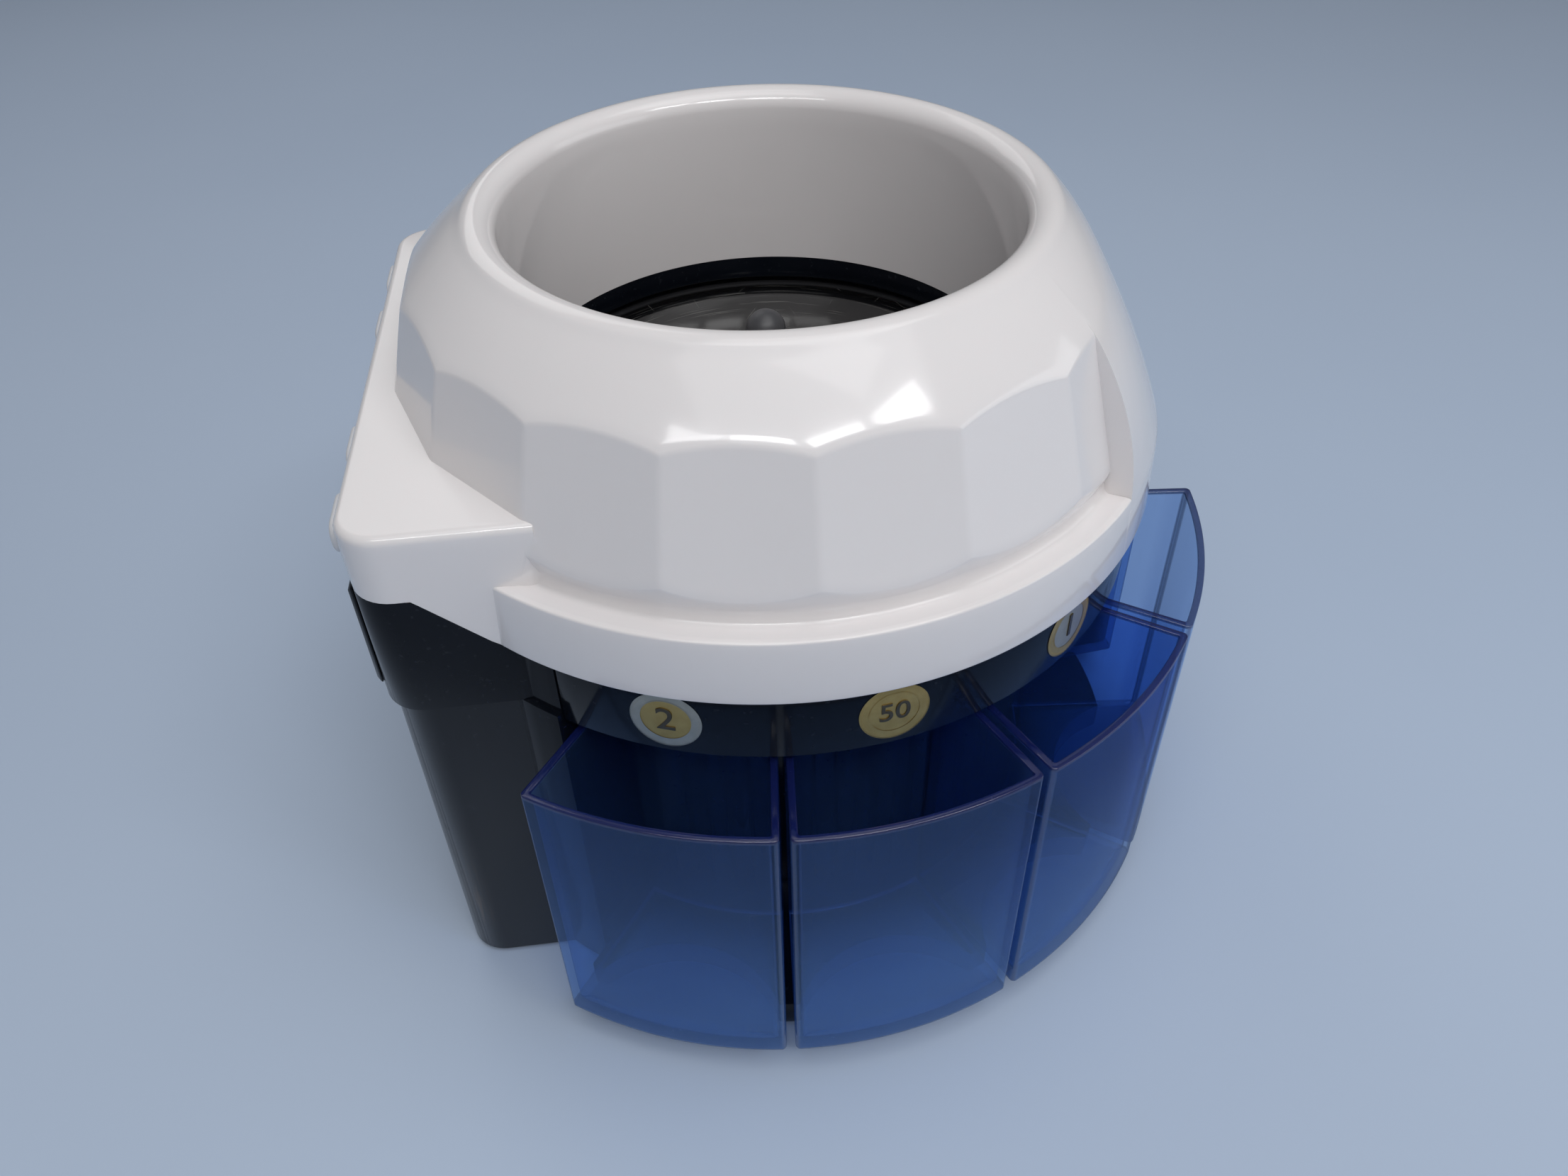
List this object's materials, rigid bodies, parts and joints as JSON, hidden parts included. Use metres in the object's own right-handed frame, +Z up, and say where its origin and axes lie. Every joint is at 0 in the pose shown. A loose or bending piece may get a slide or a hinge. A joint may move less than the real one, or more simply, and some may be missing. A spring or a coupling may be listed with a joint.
{
  "type": "coin sorting machine",
  "caption": "Desktop coin sorting machine: round open hopper over a spinning dish, with a ring of clear pull-out trays below and a control block in front.",
  "frame": {"origin": "centre of the footprint on the surface the machine stands on", "axes": "+Z up, the control panel faces -Y, +X to the right seen from the panel"},
  "size_m": [0.35, 0.3232, 0.2824],
  "materials": {
    "white_abs": "glossy injection moulded, warm white",
    "key_white": "satin moulded white",
    "black_abs": "glossy injection moulded, blue black",
    "blue_tray": "clear blue moulded plastic",
    "dish_black": "polished black with coin scratches",
    "rail_black": "satin black wear track",
    "knob_grey": "satin dark grey",
    "rubber": "matt moulded rubber",
    "badge_print": "printed foil, gold and silver",
    "steel": "zinc plated",
    "cast_alloy": "die cast",
    "pulley_nylon": "natural nylon",
    "motor_can": "plated steel can",
    "board_green": "solder mask",
    "chip_black": "moulded component bodies",
    "brass": "bright",
    "supply_case": "folded sheet",
    "clear_window": "clear acrylic",
    "lcd_glass": "grey green display",
    "matte_black": "fine textured black"
  },
  "bodies": {
    "casing": {"base_plate": "black_abs", "bearing_housing": "cast_alloy", "board_parts": "chip_black", "board_screws": "steel", "board_standoffs": "brass", "body_shell": "black_abs", "bowl_ring": "black_abs", "chute_ring": "black_abs", "coin_badges": "badge_print", "coin_sensors": "chip_black", "display_module": "lcd_glass", "display_window": "clear_window", "drive_belt": "rubber", "drive_deck": "steel", "foot_screws": "steel", "front_fascia": "black_abs", "hopper_cover": "white_abs", "inlet_pins": "brass", "key_board": "board_green", "key_switches": "chip_black", "lower_bearing": "steel", "main_board": "board_green", "motor_body": "motor_can", "power_inlet": "matte_black", "power_supply": "supply_case", "rubber_feet": "rubber", "sorting_rail": "rail_black", "switch_bezel": "matte_black", "upper_bearing": "steel"},
    "dish": {"feed_disc": "dish_black", "disc_knob": "knob_grey", "disc_shaft": "steel", "disc_pulley": "pulley_nylon"},
    "motor_rotor": {"motor_shaft": "steel", "motor_pulley": "pulley_nylon"},
    "rocker": {"power_rocker": "matte_black"},
    "tray_1": {"coin_tray_1": "blue_tray"},
    "tray_2": {"coin_tray_2": "blue_tray"},
    "tray_3": {"coin_tray_3": "blue_tray"},
    "tray_4": {"coin_tray_4": "blue_tray"},
    "tray_5": {"coin_tray_5": "blue_tray"},
    "tray_6": {"coin_tray_6": "blue_tray"},
    "tray_7": {"coin_tray_7": "blue_tray"},
    "tray_8": {"coin_tray_8": "blue_tray"},
    "key_1": {"panel_key_1": "key_white"},
    "key_2": {"panel_key_2": "key_white"},
    "key_3": {"panel_key_3": "key_white"},
    "key_4": {"panel_key_4": "key_white"}
  },
  "joints": [
    {"name": "dish_spin", "type": "hinge", "parent": "casing", "child": "dish", "pos_m": [0, -0.01226, 0.196], "axis": [0, 0, 1], "continuous": true},
    {"name": "motor_spin", "type": "hinge", "parent": "casing", "child": "motor_rotor", "pos_m": [0.062, -0.01226, 0.16], "axis": [0, 0, 1], "continuous": true},
    {"name": "tray_1_slide", "type": "slide", "parent": "casing", "child": "tray_1", "axis": [0.9367, -0.3502, 0], "range_m": [0, 0.13]},
    {"name": "tray_2_slide", "type": "slide", "parent": "casing", "child": "tray_2", "axis": [0.9863, 0.165, 0], "range_m": [0, 0.13]},
    {"name": "tray_3_slide", "type": "slide", "parent": "casing", "child": "tray_3", "axis": [0.7716, 0.6361, 0], "range_m": [0, 0.13]},
    {"name": "tray_4_slide", "type": "slide", "parent": "casing", "child": "tray_4", "axis": [0.3502, 0.9367, 0], "range_m": [0, 0.13]},
    {"name": "tray_5_slide", "type": "slide", "parent": "casing", "child": "tray_5", "axis": [-0.3502, 0.9367, 0], "range_m": [0, 0.13]},
    {"name": "tray_6_slide", "type": "slide", "parent": "casing", "child": "tray_6", "axis": [-0.7716, 0.6361, 0], "range_m": [0, 0.13]},
    {"name": "tray_7_slide", "type": "slide", "parent": "casing", "child": "tray_7", "axis": [-0.9863, 0.165, 0], "range_m": [0, 0.13]},
    {"name": "tray_8_slide", "type": "slide", "parent": "casing", "child": "tray_8", "axis": [-0.9367, -0.3502, 0], "range_m": [0, 0.13]},
    {"name": "key_1_press", "type": "slide", "parent": "casing", "child": "key_1", "axis": [0, 1, 0], "range_m": [0, 0.0015], "stiffness_N_per_m": 600},
    {"name": "key_2_press", "type": "slide", "parent": "casing", "child": "key_2", "axis": [0, 1, 0], "range_m": [0, 0.0015], "stiffness_N_per_m": 600},
    {"name": "key_3_press", "type": "slide", "parent": "casing", "child": "key_3", "axis": [0, 1, 0], "range_m": [0, 0.0015], "stiffness_N_per_m": 600},
    {"name": "key_4_press", "type": "slide", "parent": "casing", "child": "key_4", "axis": [0, 1, 0], "range_m": [0, 0.0015], "stiffness_N_per_m": 600},
    {"name": "power_rock", "type": "hinge", "parent": "casing", "child": "rocker", "pos_m": [-0.1011, -0.13226, 0.084], "axis": [0, 1, 0], "range_deg": [-16, 0]}
  ],
  "couplings": [
    {"joint": "motor_spin", "follows": "dish_spin", "ratio": 4}
  ]
}
